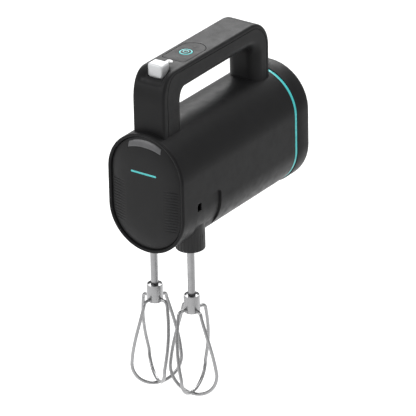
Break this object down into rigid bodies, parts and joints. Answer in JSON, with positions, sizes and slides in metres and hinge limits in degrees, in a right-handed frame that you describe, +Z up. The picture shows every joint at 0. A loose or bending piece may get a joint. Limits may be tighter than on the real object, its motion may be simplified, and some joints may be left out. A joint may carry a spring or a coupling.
{
  "type": "hand mixer",
  "caption": "Cordless hand mixer: a stadium-section body with a closed loop handle on top, two counter-rotating twisted-wire beaters and an eject lever.",
  "frame": {"origin": "middle of the grip bar, where the hand holds the mixer", "axes": "+Z up along the beater axes, -Y towards the front panel, +X to the right-hand side seen from the front"},
  "size_m": [0.0831, 0.194, 0.3133],
  "materials": {
    "body_black": "satin black moulded ABS",
    "panel_black": "satin black moulded ABS with a domed face",
    "handle_black": "matt black moulded ABS",
    "lens_smoke": "smoked light-grey polycarbonate",
    "accent_teal": "glossy teal polycarbonate",
    "lever_silver": "satin silver paint on plastic",
    "mark_white": "white printed mark",
    "mark_dark": "dark grey printed marks",
    "beater_steel": "polished stainless steel",
    "inner_steel": "plain steel",
    "bush_brass": "sintered bronze",
    "gear_nylon": "natural acetal",
    "frame_alloy": "die-cast alloy",
    "inner_plastic": "dark glass-filled nylon",
    "board_green": "solder-masked circuit board",
    "cell_wrap": "shrink-wrapped lithium-ion cell",
    "wire_red": "insulated wire bundle"
  },
  "bodies": {
    "housing": {"body_shell": "body_black", "front_bezel": "body_black", "front_panel": "panel_black", "indicator_lens": "lens_smoke", "panel_accent": "accent_teal", "indicator_board": "board_green", "accent_ring": "accent_teal", "rear_cap": "body_black", "cap_screws": "inner_steel", "charging_socket": "inner_steel", "charging_board": "board_green", "left_turret": "body_black", "right_turret": "body_black", "gearbox_base": "frame_alloy", "gearbox_cover": "frame_alloy", "gearbox_screws": "inner_steel", "lower_bushes": "bush_brass", "upper_bushes": "bush_brass", "worm_bush": "bush_brass", "handle_cover": "handle_black", "handle_shell": "handle_black", "handle_screws": "inner_steel", "rocker_pins": "inner_steel", "button_spring": "inner_steel", "light_ring": "accent_teal", "control_board": "board_green", "button_switches": "inner_steel", "lever_mark": "mark_white", "ejector_spring": "inner_steel", "motor_can": "inner_steel", "motor_magnets": "inner_plastic", "motor_end_cap": "inner_plastic", "motor_bushes": "bush_brass", "battery_cells": "cell_wrap", "battery_holder": "inner_plastic", "battery_straps": "inner_steel", "wire_harness": "wire_red"},
    "rotor": {"motor_shaft": "inner_steel", "rotor_core": "inner_steel", "commutator": "bush_brass", "worm": "gear_nylon"},
    "left_spindle": {"left_spindle": "inner_steel", "left_worm_wheel": "gear_nylon"},
    "right_spindle": {"right_spindle": "inner_steel", "right_worm_wheel": "gear_nylon"},
    "left_beater": {"left_stem": "beater_steel", "left_collar": "beater_steel", "left_wire_loops": "beater_steel"},
    "right_beater": {"right_stem": "beater_steel", "right_collar": "beater_steel", "right_wire_loops": "beater_steel"},
    "ejector": {"eject_lever": "lever_silver", "ejector_rod": "inner_steel", "ejector_plate": "inner_plastic"},
    "rocker": {"speed_rocker": "handle_black", "rocker_marks": "mark_dark"},
    "button": {"power_button": "handle_black", "power_glyph": "accent_teal"}
  },
  "joints": [
    {"name": "motor_spin", "type": "hinge", "parent": "housing", "child": "rotor", "pos_m": [0, -0.0518, -0.1043], "axis": [0, 1, 0], "continuous": true},
    {"name": "left_spindle_spin", "type": "hinge", "parent": "housing", "child": "left_spindle", "pos_m": [-0.0194, -0.0518, -0.1043], "axis": [0, 0, 1], "continuous": true},
    {"name": "right_spindle_spin", "type": "hinge", "parent": "housing", "child": "right_spindle", "pos_m": [0.0194, -0.0518, -0.1043], "axis": [0, 0, 1], "continuous": true},
    {"name": "eject_press", "type": "slide", "parent": "housing", "child": "ejector", "axis": [0, 0, -1], "range_m": [0, 0.005], "stiffness_N_per_m": 800, "springref_m": -0.004, "deforming": ["ejector_spring"]},
    {"name": "left_beater_release", "type": "slide", "parent": "left_spindle", "child": "left_beater", "axis": [0, 0, -1], "range_m": [0, 0.005]},
    {"name": "right_beater_release", "type": "slide", "parent": "right_spindle", "child": "right_beater", "axis": [0, 0, -1], "range_m": [0, 0.005]},
    {"name": "rocker_tilt", "type": "hinge", "parent": "housing", "child": "rocker", "pos_m": [0, -0.025, 0.0072], "axis": [1, 0, 0], "range_deg": [-2, 2], "stiffness_Nm_per_rad": 0.5},
    {"name": "button_press", "type": "slide", "parent": "housing", "child": "button", "axis": [0, 0, -1], "range_m": [0, 0.0008], "stiffness_N_per_m": 600, "springref_m": -0.0006, "deforming": ["button_spring"]}
  ],
  "couplings": [
    {"joint": "left_spindle_spin", "follows": "motor_spin", "ratio": -0.1},
    {"joint": "right_spindle_spin", "follows": "motor_spin", "ratio": 0.1},
    {"joint": "left_beater_release", "follows": "eject_press", "ratio": 1},
    {"joint": "right_beater_release", "follows": "eject_press", "ratio": 1}
  ]
}
